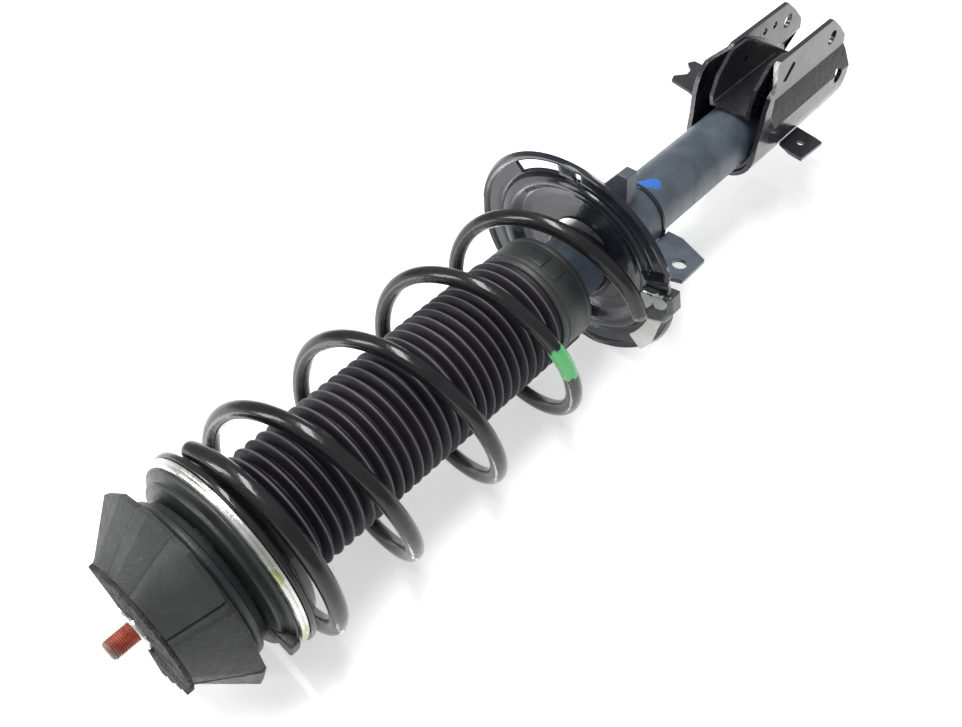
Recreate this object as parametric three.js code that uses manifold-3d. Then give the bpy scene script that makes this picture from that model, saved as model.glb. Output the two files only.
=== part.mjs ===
// Front suspension strut: damper, coil spring, top mount and knuckle bracket.
// The strut lies along X, top mount towards -X, knuckle bracket towards +X,
// resting on z = 0 on its top mount and its lower spring seat.
// Lengths are millimetres. Stations along the strut count from the stud's tip.
import * as THREE from 'three';
import { mergeVertices } from 'three/addons/utils/BufferGeometryUtils.js';
import ManifoldModule from 'manifold-3d';

// ---- overall sizes ----
const STRUT_LENGTH = 714;        // stud tip to the far edge of the knuckle bracket
const AXIS_SIDE = 3;             // strut axis from the middle of the overall width
const TUBE_R = 23.5;             // damper outer tube
const TUBE_WALL = 2.5;
const TUBE_START = 300;
const TUBE_END = 655;
const ROD_R = 11;                // piston rod
const STUD_R = 6;
const SPRING_R = 64.2;           // coil mean radius
const SPRING_CENTRE = [-3.7, -1]; // coil centre from the strut axis, Y and Z
const WIRE_R = 5.3;
const SPRING_PITCH = 72;
const SPRING_LEAN = [0.005, 0.0237]; // how much more each turn leans, per mm of Y and of Z
const SPRING_FIRST = 88;         // station of the flat first turn
const SPRING_START_DEG = 60;
const SPRING_LIFT_DEG = 247.3;   // where the wire leaves the upper seat
const SPRING_END_DEG = 1612;
const FLOOR_UNDER_SPRING = 2;    // the coil's underside, were it centred, above the floor
const SEAT_MARGIN = 15.8;        // lower seat rim beyond the coil's mean radius
const SEAT_OFFSET = [2, 6.5];    // lower seat centre from the strut axis, Y and Z
const SEAT_X = 384;              // lower seat rim edge on the axis
const SEAT_LEAN = 0.12;          // slope of the lower seat towards the mount at its top
const MOUNT_FRONT = 19;          // top mount block
const MOUNT_RIM = 49;
const MOUNT_R = 64;
const BRACKET_START = 568;       // knuckle bracket
const EAR_GAP = 36;
const EAR_TOP = 66;              // ear edge above the strut axis
const SHEET = 3.8;               // knuckle bracket sheet

// ---- fits ----
const GAP = 0.3;                 // between neighbouring fixed pieces
const RUN = 0.1;                 // radial running clearance of rod and piston

// ---- sizes that follow from those above ----
const AXIS_HEIGHT = SPRING_R + WIRE_R + FLOOR_UNDER_SPRING; // strut axis above the floor
const SEAT_R = SPRING_R + SEAT_MARGIN;                      // lower seat rim

const ROUND = 48;
const ROUND_SMALL = 32;

const LOOKS = {
  rubber: { color: 0x2b2c2e, roughness: 0.85, metalness: 0 },
  pad: { color: 0x1c1d1f, roughness: 0.8, metalness: 0 },
  redStud: { color: 0xa8452f, roughness: 0.6, metalness: 0.3 },
  zinc: { color: 0xc9ccc4, roughness: 0.35, metalness: 0.9 },
  steel: { color: 0x9a9da0, roughness: 0.4, metalness: 0.9 },
  boot: { color: 0x221f26, roughness: 0.7, metalness: 0 },
  spring: { color: 0x111214, roughness: 0.2, metalness: 0.2 },
  seat: { color: 0x171a22, roughness: 0.25, metalness: 0.3 },
  tube: { color: 0x3c4650, roughness: 0.45, metalness: 0.3 },
  bracket: { color: 0x17181b, roughness: 0.22, metalness: 0.3 },
  plastic: { color: 0x26282a, roughness: 0.6, metalness: 0 },
  white: { color: 0xe6e6e2, roughness: 0.6, metalness: 0 },
};

const wasm = await ManifoldModule();
wasm.setup();
const { Manifold, Mesh } = wasm;

const group = new THREE.Group();
group.name = 'strut_assembly';

// ---- helpers ----
function solid(geometry) {
  const bare = geometry.index ? geometry.clone() : geometry.clone();
  bare.deleteAttribute('normal');
  bare.deleteAttribute('uv');
  const joined = mergeVertices(bare, 1e-4);
  return Manifold.ofMesh(new Mesh({
    numProp: 3,
    vertProperties: new Float32Array(joined.attributes.position.array),
    triVerts: new Uint32Array(joined.index.array),
  }));
}

function toGeometry(manifold) {
  const mesh = manifold.getMesh();
  const geometry = new THREE.BufferGeometry();
  geometry.setAttribute('position', new THREE.BufferAttribute(new Float32Array(mesh.vertProperties), 3));
  geometry.setIndex(new THREE.BufferAttribute(new Uint32Array(mesh.triVerts), 1));
  return geometry;
}

function join(...pieces) {
  return toGeometry(pieces.map(solid).reduce((sum, next) => sum.add(next)));
}

function cut(body, ...tools) {
  return toGeometry(tools.map(solid).reduce((left, tool) => left.subtract(tool), solid(body)));
}

function common(a, b) {
  return toGeometry(solid(a).intersect(solid(b)));
}

function area(points) {
  let sum = 0;
  points.forEach(([x, r], i) => {
    const [nextX, nextR] = points[(i + 1) % points.length];
    sum += x * nextR - nextX * r;
  });
  return sum / 2;
}

// A closed profile of [station, radius] points, turned about the strut axis.
function turned(profile, segments = ROUND) {
  const ordered = area(profile) > 0 ? [...profile].reverse() : profile;
  const closed = [...ordered, ordered[0]];
  const geometry = new THREE.LatheGeometry(closed.map(([x, r]) => new THREE.Vector2(r, x)), segments);
  geometry.rotateZ(-Math.PI / 2);
  return geometry;
}

// A plain ring or, with no bore, a plain cylinder from one station to another.
function ring(start, end, outer, bore = 0, segments = ROUND) {
  if (bore > 0) {
    return turned([[start, bore], [start, outer], [end, outer], [end, bore]], segments);
  }
  const rod = new THREE.CylinderGeometry(outer, outer, end - start, segments);
  rod.rotateZ(-Math.PI / 2);
  rod.translate((start + end) / 2, 0, 0);
  return rod;
}

function outline(points) {
  return new THREE.Shape(points.map(([a, b]) => new THREE.Vector2(a, b)));
}

// Outline in Y and Z, pushed along the strut.
function alongStrut(shape, start, end) {
  const geometry = new THREE.ExtrudeGeometry(shape, { depth: end - start, bevelEnabled: false });
  geometry.applyMatrix4(new THREE.Matrix4().set(0, 0, 1, start, 1, 0, 0, 0, 0, 1, 0, 0, 0, 0, 0, 1));
  return geometry;
}

// A skin through outlines in Y and Z, each at its own station and with the same number of points.
function loft(sections) {
  const count = sections[0].points.length;
  const vertices = sections.flatMap(({ station, points }) => points.flatMap(([y, z]) => [station, y, z]));
  const faces = [];
  for (let level = 0; level < sections.length - 1; level += 1) {
    for (let i = 0; i < count; i += 1) {
      const a = level * count + i;
      const b = level * count + ((i + 1) % count);
      faces.push(a, b, b + count, a, b + count, a + count);
    }
  }
  const flat = sections[0].points.map(([y, z]) => new THREE.Vector2(y, z));
  const lid = THREE.ShapeUtils.triangulateShape(flat, []);
  const last = (sections.length - 1) * count;
  lid.forEach(([a, b, c]) => faces.push(a, c, b, last + a, last + b, last + c));
  const skin = new THREE.BufferGeometry();
  skin.setAttribute('position', new THREE.Float32BufferAttribute(vertices, 3));
  skin.setIndex(faces);
  if (solid(skin).volume() < 0) {
    for (let i = 0; i < faces.length; i += 3) {
      [faces[i + 1], faces[i + 2]] = [faces[i + 2], faces[i + 1]];
    }
    skin.setIndex(faces);
  }
  return skin;
}

// Outline in X and Z, pushed across the strut from y = from to y = to.
function acrossStrut(shape, from, to) {
  const geometry = new THREE.ExtrudeGeometry(shape, { depth: to - from, bevelEnabled: false });
  geometry.applyMatrix4(new THREE.Matrix4().set(1, 0, 0, 0, 0, 0, -1, to, 0, 1, 0, 0, 0, 0, 0, 1));
  return geometry;
}

// Outline in X and Y, pushed up from z = low to z = high.
function upward(shape, low, high) {
  const geometry = new THREE.ExtrudeGeometry(shape, { depth: high - low, bevelEnabled: false });
  geometry.translate(0, 0, low);
  return geometry;
}

function acrossHole(x, z, radius, from, to) {
  const drill = new THREE.CylinderGeometry(radius, radius, to - from, 20);
  drill.translate(x, (from + to) / 2, z);
  return drill;
}

function upHole(x, y, radius, low, high) {
  const drill = new THREE.CylinderGeometry(radius, radius, high - low, 20);
  drill.rotateX(Math.PI / 2);
  drill.translate(x, y, (low + high) / 2);
  return drill;
}

function arcPoints(radius, fromDeg, toDeg, steps, centre = [0, 0]) {
  const points = [];
  for (let i = 0; i <= steps; i += 1) {
    const angle = THREE.MathUtils.degToRad(fromDeg + ((toDeg - fromDeg) * i) / steps);
    points.push([centre[0] + radius * Math.cos(angle), centre[1] + radius * Math.sin(angle)]);
  }
  return points;
}

function add(name, geometry, look) {
  const bare = geometry.clone();
  bare.deleteAttribute('uv');
  bare.deleteAttribute('normal');
  const welded = mergeVertices(bare, 1e-4);
  welded.translate(-STRUT_LENGTH / 2, AXIS_SIDE, AXIS_HEIGHT);
  welded.computeVertexNormals();
  const mesh = new THREE.Mesh(welded, new THREE.MeshStandardMaterial(LOOKS[look]));
  mesh.name = name;
  group.add(mesh);
}

// ---- top mount and piston rod ----
const NECK_R = 7.5;              // rod neck inside the mount sleeve
const NECK_START = 31;
const SHOULDER = 62;             // rod shoulder that the mount sleeve seats on
const PISTON_X = 345;
const PISTON_LENGTH = 16;
const PISTON_R = ROD_R + 4;      // cylinder bore
const ROD_TAIL_R = 6;
const WASHER_R = 12.5;

function pistonRod() {
  return turned([
    [0, 0], [0, STUD_R - 1], [1, STUD_R], [NECK_START, STUD_R], [NECK_START, NECK_R],
    [SHOULDER, NECK_R], [SHOULDER, ROD_R], [PISTON_X - GAP, ROD_R], [PISTON_X - GAP, ROD_TAIL_R],
    [PISTON_X + PISTON_LENGTH + 14, ROD_TAIL_R], [PISTON_X + PISTON_LENGTH + 14, 0],
  ], ROUND_SMALL);
}

function hexNut(start, end, acrossFlats, bore) {
  const nut = ring(start, end, acrossFlats / Math.sqrt(3), 0, 6);
  return cut(nut, ring(start - 1, end + 1, bore, 0, 24));
}

// One-sided faceted block, as [angle, radius] corners: a narrow front face grows to a wide rim,
// and the side away from the lobe is only the core round the sleeve.
const CORE_R = 16;
const FRONT_CORNERS = [
  [57, 44], [66, 45], [88, 45], [112, 45], [124, 45], [139, 45], [152, 45], [175, 45], [190, 44], [204, 41],
  [238, 36], [262, 30], [300, CORE_R], [340, CORE_R], [372, CORE_R + 3], [398, 31],
];
const RIM_CORNERS = [
  [38, MOUNT_R], [66, MOUNT_R + 2.5], [88, MOUNT_R + 4], [112, MOUNT_R + 4], [124, MOUNT_R], [139, MOUNT_R - 7],
  [152, MOUNT_R - 7], [172, MOUNT_R - 5], [190, MOUNT_R - 1.5], [214, MOUNT_R],
  [238, 48], [262, 34], [300, CORE_R + 4], [340, CORE_R + 4], [370, CORE_R + 8], [388, 46],
];

function mountRubber() {
  const corners = FRONT_CORNERS.length;
  const outlineOf = (list, share = 1) => list.map(([degrees, radius]) => {
    const angle = THREE.MathUtils.degToRad(degrees);
    return [share * radius * Math.cos(angle), share * radius * Math.sin(angle)];
  });
  const levels = [
    [MOUNT_FRONT, outlineOf(FRONT_CORNERS, 0.97)],
    [MOUNT_FRONT + 2, outlineOf(FRONT_CORNERS)],
    [MOUNT_RIM - 3, outlineOf(RIM_CORNERS)],
    [MOUNT_RIM, outlineOf(RIM_CORNERS, 0.985)],
  ];
  const vertices = [];
  const faces = [];
  levels.forEach(([x, points]) => points.forEach(([y, z]) => {
    vertices.push(x, y, z);
  }));
  for (let level = 0; level < levels.length - 1; level += 1) {
    for (let i = 0; i < corners; i += 1) {
      const a = level * corners + i;
      const b = level * corners + ((i + 1) % corners);
      faces.push(a, b, b + corners, a, b + corners, a + corners);
    }
  }
  const last = (levels.length - 1) * corners;
  const lid = (points) => THREE.ShapeUtils.triangulateShape(points.map(([y, z]) => new THREE.Vector2(y, z)), []);
  lid(levels[0][1]).forEach(([a, b, c]) => faces.push(a, c, b));
  lid(levels[levels.length - 1][1]).forEach(([a, b, c]) => faces.push(last + a, last + b, last + c));
  const block = new THREE.BufferGeometry();
  block.setAttribute('position', new THREE.Float32BufferAttribute(vertices, 3));
  block.setIndex(faces.map((value) => value));
  const flip = solid(block).volume() < 0;
  if (flip) {
    for (let i = 0; i < faces.length; i += 3) {
      [faces[i + 1], faces[i + 2]] = [faces[i + 2], faces[i + 1]];
    }
    block.setIndex(faces);
  }
  const core = [
    [MOUNT_FRONT - 1, 0], [MOUNT_FRONT - 1, WASHER_R + 0.5], [31, WASHER_R + 0.5], [31, 12 + GAP],
    [MOUNT_RIM + 1, 12 + GAP], [MOUNT_RIM + 1, 0],
  ];
  const foot = alongStrut(outline([
    [-18, -AXIS_HEIGHT], [6, -AXIS_HEIGHT], [10, -24], [-24, -24],
  ]), MOUNT_RIM - 8, MOUNT_RIM);
  return cut(join(block, foot), turned(core, ROUND_SMALL));
}

add('piston_rod', pistonRod(), 'redStud');
add('mount_washer', ring(21.5, 24, WASHER_R, STUD_R + GAP, ROUND_SMALL), 'zinc');
add('rod_nut', hexNut(24.3, 30.7, 19, STUD_R + GAP), 'steel');
add('mount_sleeve', turned([
  [31.3, NECK_R + GAP], [31.3, 12], [55, 12], [55, 20], [58, 20], [58, 14], [61.7, 14], [61.7, NECK_R + GAP],
], ROUND_SMALL), 'steel');
add('mount_rubber', mountRubber(), 'rubber');
const BEARING_BORE = ROD_R + 13; // clears the bump stop's cup
add('mount_plate', ring(MOUNT_RIM + GAP, 51.5, 52, 20.5, ROUND), 'steel');
add('bearing_cover', turned([
  [51.8, 20.5], [51.8, 50], [56, 50], [62, 46], [62, 40], [57, 40], [57, 20.5],
]), 'plastic');
add('bearing_upper_race', ring(57.3, 60, 39.5, BEARING_BORE, ROUND_SMALL), 'steel');
add('bump_stop', turned([
  [66, ROD_R + GAP], [66, ROD_R + 10], [80, ROD_R + 10], [84, ROD_R + 7], [90, ROD_R + 9], [96, ROD_R + 5.5],
  [102, ROD_R + 7.5], [110, ROD_R + 3.5], [116, ROD_R + 2], [116, ROD_R + GAP],
], ROUND_SMALL), 'plastic');
add('bump_stop_cup', turned([
  [62.3, ROD_R + GAP], [62.3, ROD_R + 12], [74, ROD_R + 12], [74, ROD_R + 10.3], [65.7, ROD_R + 10.3],
  [65.7, ROD_R + GAP],
], ROUND_SMALL), 'steel');

// ---- piston, fixed on the rod's tail ----
const INNER_R = PISTON_R + 2;    // inner cylinder outside radius
add('rebound_stop', ring(PISTON_X - 16, PISTON_X - 8, PISTON_R - 1, ROD_R + GAP, ROUND_SMALL), 'steel');
add('piston', cut(
  ring(PISTON_X, PISTON_X + PISTON_LENGTH, PISTON_R - RUN, ROD_TAIL_R + GAP, ROUND_SMALL),
  ring(PISTON_X + 4, PISTON_X + 12, PISTON_R + 1, PISTON_R - 1.4, ROUND_SMALL),
), 'steel');
add('piston_band', ring(PISTON_X + 4.2, PISTON_X + 11.8, PISTON_R - RUN, PISTON_R - 1.2, ROUND_SMALL), 'plastic');
add('piston_nut', hexNut(PISTON_X + PISTON_LENGTH + GAP, PISTON_X + PISTON_LENGTH + 9, 18, ROD_TAIL_R + GAP), 'steel');

// ---- upper spring seat ----
add('bearing_lower_race', ring(60.3, 63, 39.5, BEARING_BORE, ROUND_SMALL), 'steel');
add('bearing_housing', turned([
  [63.3, BEARING_BORE], [63.3, 46], [66, 52], [68.5, 58.5], [71.5, 58.5], [71.7, BEARING_BORE],
]), 'plastic');
const PLATE_R = SPRING_R - 1.3;  // upper seat plate, just inside the coil's mean radius
add('upper_spring_seat', turned([
  [72, BEARING_BORE + 3], [72, PLATE_R - 2.9], [73, PLATE_R], [77.5, PLATE_R], [77.5, PLATE_R - 1.9], [74.8, PLATE_R - 2.9],
  [74.8, BEARING_BORE + 5.5], [92, BEARING_BORE + 5.5], [92, BEARING_BORE + 3],
]), 'zinc');
// The pad's hub stays inside the first turn of the coil, which sits a little off the axis.
const PAD_HUB_R = SPRING_R - WIRE_R - Math.hypot(...SPRING_CENTRE) - 2 * GAP;
add('upper_seat_pad', turned([
  [75.1, BEARING_BORE + 5.8], [75.1, PLATE_R - 3.5], [77.3, PLATE_R - 2.7], [77.8, PLATE_R - 2.4], [77.8, PLATE_R + 1.1],
  [SPRING_FIRST - WIRE_R - GAP - 0.1, PLATE_R + 1.1],
  [SPRING_FIRST - WIRE_R - GAP - 0.1, PAD_HUB_R], [90, PAD_HUB_R - 0.7], [92.5, PAD_HUB_R - 4], [92.5, BEARING_BORE + 5.8],
]), 'pad');

// ---- dust boot ----
const BOOT_START = 93;
const BOOT_LEAD = 2.25;
const BOOT_PITCH = 7.9;
const BOOT_FOLDS = 28;
const BOOT_CREST_R = 40.6;
const BOOT_ROOT_R = 35.8;
const BOOT_BORE_R = 33.5;
const BOOT_FOLD_END = BOOT_START + BOOT_LEAD + BOOT_PITCH * BOOT_FOLDS;

function dustBoot() {
  const profile = [[BOOT_START, BOOT_BORE_R], [BOOT_START, BOOT_ROOT_R]];
  for (let i = 0; i < BOOT_FOLDS; i += 1) {
    const start = BOOT_START + BOOT_LEAD + BOOT_PITCH * i;
    profile.push([start, BOOT_ROOT_R]);
    profile.push([start + BOOT_PITCH / 2, BOOT_CREST_R]);
  }
  profile.push([BOOT_FOLD_END, BOOT_ROOT_R], [BOOT_FOLD_END + 3, BOOT_ROOT_R + 1]);
  profile.push([BOOT_FOLD_END + 3, BOOT_BORE_R]);
  return turned(profile, 40);
}

add('dust_boot', dustBoot(), 'boot');
const COLLAR_START = BOOT_FOLD_END + 3.3;
add('boot_collar', turned([
  [COLLAR_START, TUBE_R + 3], [COLLAR_START, 38.5], [COLLAR_START + 5, 39.3], [COLLAR_START + 25, 39.3],
  [COLLAR_START + 29, 38], [COLLAR_START + 29, TUBE_R + 3],
]), 'boot');

// ---- coil spring ----
function wirePoint(degrees, target = new THREE.Vector3()) {
  const turns = (degrees - SPRING_LIFT_DEG) / 360;
  const lift = (turns + Math.sqrt(turns * turns + 0.06)) / 2;
  const angle = THREE.MathUtils.degToRad(degrees);
  const y = SPRING_R * Math.cos(angle);
  const z = SPRING_R * Math.sin(angle);
  const station = SPRING_FIRST + lift * (SPRING_PITCH - SPRING_LEAN[0] * y - SPRING_LEAN[1] * z);
  return target.set(station, SPRING_CENTRE[0] + y, SPRING_CENTRE[1] + z);
}

class SpringLine extends THREE.Curve {
  getPoint(t, target) {
    return wirePoint(THREE.MathUtils.lerp(SPRING_START_DEG, SPRING_END_DEG, t), target);
  }
}

function coilSpring() {
  const wire = outline(arcPoints(WIRE_R, 0, 324, 9));
  return new THREE.ExtrudeGeometry(wire, { steps: 170, extrudePath: new SpringLine(), bevelEnabled: false });
}

add('coil_spring', coilSpring(), 'spring');

// ---- damper tube ----
const INNER_START = 306;
const INNER_END = 636;
add('outer_tube', ring(TUBE_START, TUBE_END, TUBE_R, TUBE_R - TUBE_WALL), 'tube');
add('tube_top_cap', turned([
  [TUBE_START - 5, ROD_R + 1], [TUBE_START - 5, TUBE_R + 2.2], [TUBE_START + 8, TUBE_R + 2.2],
  [TUBE_START + 8, TUBE_R + GAP], [TUBE_START - GAP, TUBE_R + GAP], [TUBE_START - GAP, ROD_R + 1],
]), 'steel');
add('rod_seal', ring(TUBE_START, TUBE_START + 5, TUBE_R - TUBE_WALL - GAP, ROD_R + RUN, ROUND_SMALL), 'pad');
add('rod_guide', turned([
  [TUBE_START + 5.3, ROD_R + RUN], [TUBE_START + 5.3, TUBE_R - TUBE_WALL - GAP], [TUBE_START + 14, TUBE_R - TUBE_WALL - GAP],
  [TUBE_START + 14, PISTON_R - GAP], [TUBE_START + 24, PISTON_R - GAP], [TUBE_START + 24, ROD_R + RUN],
], ROUND_SMALL), 'steel');
add('inner_cylinder', ring(TUBE_START + 14.3, INNER_END, INNER_R, PISTON_R, ROUND_SMALL), 'steel');
add('base_valve', turned([
  [INNER_END - 8, 0], [INNER_END - 8, PISTON_R - GAP], [INNER_END + GAP, PISTON_R - GAP], [INNER_END + GAP, 19],
  [INNER_END + 6, 19], [INNER_END + 6, 0],
], ROUND_SMALL), 'steel');
add('tube_end_cap', turned([
  [TUBE_END - 10, 0], [TUBE_END - 10, TUBE_R - TUBE_WALL - GAP], [TUBE_END - 3, TUBE_R - TUBE_WALL - GAP],
  [TUBE_END - 1, 12], [TUBE_END - 1, 0],
], ROUND_SMALL), 'steel');

// ---- lower spring seat ----
const SEAT_SHEET = 2.8;
const SEAT_DEPTH = 6;            // rim edge to the flat floor
const HUB_END = 422;
const PAD_FROM_DEG = 142;        // rubber pad under the wire's end
const PAD_TO_DEG = 176;

function leanWithSeat(geometry) {
  geometry.rotateY(-Math.atan(SEAT_LEAN));
  geometry.translate(SEAT_X, SEAT_OFFSET[0], SEAT_OFFSET[1]);
  return geometry;
}

function lowerSpringSeat() {
  const floor = SEAT_DEPTH;
  const dish = turned([
    [floor, 0], [floor, SEAT_R - 16], [1, SEAT_R - 13.5], [1, SEAT_R - 2.5], [-1, SEAT_R - 1], [-1, SEAT_R],
    [1 + SEAT_SHEET, SEAT_R - 0.5], [1 + SEAT_SHEET, SEAT_R - 12.5], [floor + SEAT_SHEET, SEAT_R - 16],
    [floor + SEAT_SHEET, 0],
  ]);
  const hump = turned([
    [floor + 1, 0], [floor + 1, SEAT_R - 16.5], [0.5, SEAT_R - 18], [0.5, SEAT_R - 21],
    [floor - 1, SEAT_R - 26], [floor - 1, 0],
  ]);
  const stop = alongStrut(outline([[-58, -14], [-86, -6], [-89, 4], [-84, 18], [-60, 24]]), -6, floor + 1);
  const sheet = join(dish, hump, stop);
  const slot = alongStrut(outline([
    ...arcPoints(SEAT_R - 7, 49, 77, 8), ...arcPoints(SEAT_R - 12.5, 77, 49, 8),
  ]), -20, 30);
  const round = ring(-20, 30, 3.6, 0, 20).translate(0, 1.2, SEAT_R - 10.2);
  const drain = ring(-20, 30, 5, 0, 20).translate(0, 46, -46);
  const leaning = leanWithSeat(cut(sheet, slot, round, drain));
  const hub = ring(SEAT_X, HUB_END, TUBE_R + 3.2, 0);
  const below = outline([
    [-SEAT_R - 10, -AXIS_HEIGHT], [SEAT_R + 10, -AXIS_HEIGHT],
    [SEAT_R + 10, -AXIS_HEIGHT - 20], [-SEAT_R - 10, -AXIS_HEIGHT - 20],
  ]);
  const floorFlat = alongStrut(below, SEAT_X - 40, HUB_END + 1);
  return cut(join(leaning, hub), ring(SEAT_X - 30, HUB_END + 1, TUBE_R + GAP, 0), floorFlat);
}

function lowerPad() {
  const shape = outline([
    ...arcPoints(SPRING_R - 6, PAD_FROM_DEG, PAD_TO_DEG, 10, SPRING_CENTRE),
    ...arcPoints(SPRING_R + 5.8, PAD_TO_DEG, PAD_FROM_DEG, 10, SPRING_CENTRE),
  ]);
  const block = alongStrut(shape, 358, SEAT_X - 9.5);
  const wireRoom = new THREE.ExtrudeGeometry(outline(arcPoints(WIRE_R + 2 * GAP, 0, 330, 11)), {
    steps: 40,
    extrudePath: new (class extends THREE.Curve {
      getPoint(t, target) {
        return wirePoint(THREE.MathUtils.lerp(SPRING_END_DEG - 60, SPRING_END_DEG + 20, t), target);
      }
    })(),
    bevelEnabled: false,
  });
  return cut(block, wireRoom);
}

add('lower_spring_seat', lowerSpringSeat(), 'seat');
add('lower_seat_pad', lowerPad(), 'pad');

// ---- brackets on the tube ----
add('seat_collar', cut(
  join(
    ring(HUB_END + GAP, 452, TUBE_R + 3.4, 0),
    alongStrut(outline([[-8, 20], [16, 20], [14, 34], [2, 50], [-6, 50], [-8, 34]]), 425, 437),
  ),
  ring(HUB_END - 5, 460, TUBE_R + GAP, 0),
), 'bracket');
add('link_bracket', cut(
  upward(outline([
    [418, -TUBE_R - 4], [456, -TUBE_R - 4], [456, -TUBE_R - 16.5], [447, -TUBE_R - 40.5], [419, -TUBE_R - 40.5],
    [414, -TUBE_R - 26.5],
  ]), -7, -3),
  upHole(432, -TUBE_R - 29.5, 5.2, -20, 10),
), 'tube');

// ---- knuckle bracket ----
const WRAP_IN = TUBE_R + 3.7;    // wrap round the tube and its liner
const EAR_BASE = TUBE_R + 6.5;   // where the straight ears begin above the axis
const WRAP_OUT = WRAP_IN + SHEET;
const EAR_IN = EAR_GAP / 2;
const EAR_OUT = EAR_IN + SHEET;

const FLARE_END = BRACKET_START + 10;
const EAR_START = BRACKET_START + 24;

// The wrap round the tube, with walls that stand wide at the near end and step in to the ears.
function bracketSection(low, high, top) {
  return [
    ...arcPoints(WRAP_OUT, 180, 360, 20),
    [WRAP_OUT, 14], [low + SHEET, EAR_BASE + 1], [high + SHEET, top - 6], [high + SHEET, top],
    [high, top], [high, top - 6], [low, EAR_BASE], [WRAP_IN, 13],
    ...arcPoints(WRAP_IN, 360, 180, 20),
    [-WRAP_IN, 13], [-low, EAR_BASE], [-high, top - 6], [-high, top],
    [-high - SHEET, top], [-high - SHEET, top - 6], [-low - SHEET, EAR_BASE + 1], [-WRAP_OUT, 14],
  ];
}

function knuckleBracket() {
  const wide = bracketSection(WRAP_IN + 0.8, WRAP_IN, EAR_TOP);
  const narrow = bracketSection(EAR_IN, EAR_IN, EAR_TOP);
  const side = outline([
    [BRACKET_START + 6, -WRAP_OUT - 3], [BRACKET_START, -10], [BRACKET_START, 40], [BRACKET_START + 3, 50],
    [BRACKET_START + 14, 58], [BRACKET_START + 24, EAR_TOP - 2], [BRACKET_START + 29, EAR_TOP + 1],
    [676, EAR_TOP + 1], [694, 54], [STRUT_LENGTH - 4, 40], [STRUT_LENGTH, 26], [STRUT_LENGTH, 4],
    [STRUT_LENGTH - 5, -14], [698, -WRAP_OUT + 5], [680, -WRAP_OUT - 3],
  ]);
  const body = common(loft([
    { station: BRACKET_START, points: wide },
    { station: FLARE_END, points: wide },
    { station: EAR_START, points: narrow },
    { station: STRUT_LENGTH, points: narrow },
  ]), acrossStrut(side, -60, 60));
  const slot = outline([[607, 44], [613, 42], [623, 53], [618, 57]]);
  return cut(
    body,
    acrossHole(684, 48, 6.2, -60, 60),
    acrossHole(696, 12, 6.2, -60, 60),
    acrossHole(661, 54, 3, 0, 60),
    acrossHole(645, 55, 3, 0, 60),
    acrossStrut(slot, -60, 0),
  );
}

function bracketStiffener() {
  const inner = EAR_IN - GAP;
  const low = TUBE_R + 1;
  const web = outline([
    [-inner, low], [inner, low], [inner, EAR_TOP - 1], [inner - 3, EAR_TOP - 1],
    [inner - 3, low + 3.5], [-inner + 3, low + 3.5], [-inner + 3, EAR_TOP - 1], [-inner, EAR_TOP - 1],
  ]);
  const side = outline([
    [575, 20], [570, 34], [574, 50], [590, EAR_TOP], [606, EAR_TOP], [623, 60], [648, 48], [675, 29], [684, 20],
  ]);
  const chamfer = alongStrut(outline([
    [-inner - 1, low - 0.5], [inner + 1, low - 0.5], [inner + 1, EAR_TOP + 4], [-inner - 1, EAR_TOP + 4],
  ]), 560, 700);
  const whole = common(common(alongStrut(web, 568, 690), acrossStrut(side, -40, 40)), chamfer);
  return cut(whole, acrossHole(613, 47, 2.6, -1, 40), acrossStrut(outline([[600, 40], [628, 40], [628, 60], [600, 60]]), -40, 0));
}

function tubeLiner() {
  const section = outline([
    ...arcPoints(WRAP_IN - GAP, 175, 365, 20),
    ...arcPoints(TUBE_R + GAP, 365, 175, 20),
  ]);
  return alongStrut(section, BRACKET_START + 5, 652);
}

add('knuckle_bracket', knuckleBracket(), 'bracket');
add('bracket_stiffener', bracketStiffener(), 'bracket');
add('tube_liner', tubeLiner(), 'bracket');
add('hose_bracket', upward(outline([
  [588, WRAP_OUT + 0.4], [630, WRAP_OUT + 0.4], [634, WRAP_OUT + 19], [636, WRAP_OUT + 39], [630, WRAP_OUT + 42],
  [622, WRAP_OUT + 34], [615, WRAP_OUT + 33], [606, WRAP_OUT + 40], [600, WRAP_OUT + 38], [596, WRAP_OUT + 19],
]), 10, 13), 'bracket');
add('wire_bracket', cut(
  upward(outline([
    [612, -WRAP_OUT + 1], [640, -WRAP_OUT + 1], [636, -WRAP_OUT - 19], [634, -WRAP_OUT - 25],
    [604, -WRAP_OUT - 23], [606, -WRAP_OUT - 11],
  ]), -12, -9),
  upHole(622, -WRAP_OUT - 12, 3, -20, 0),
), 'bracket');

export default group;
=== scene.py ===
import math

import bmesh
import bpy
from mathutils import Matrix, Vector, noise


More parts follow.
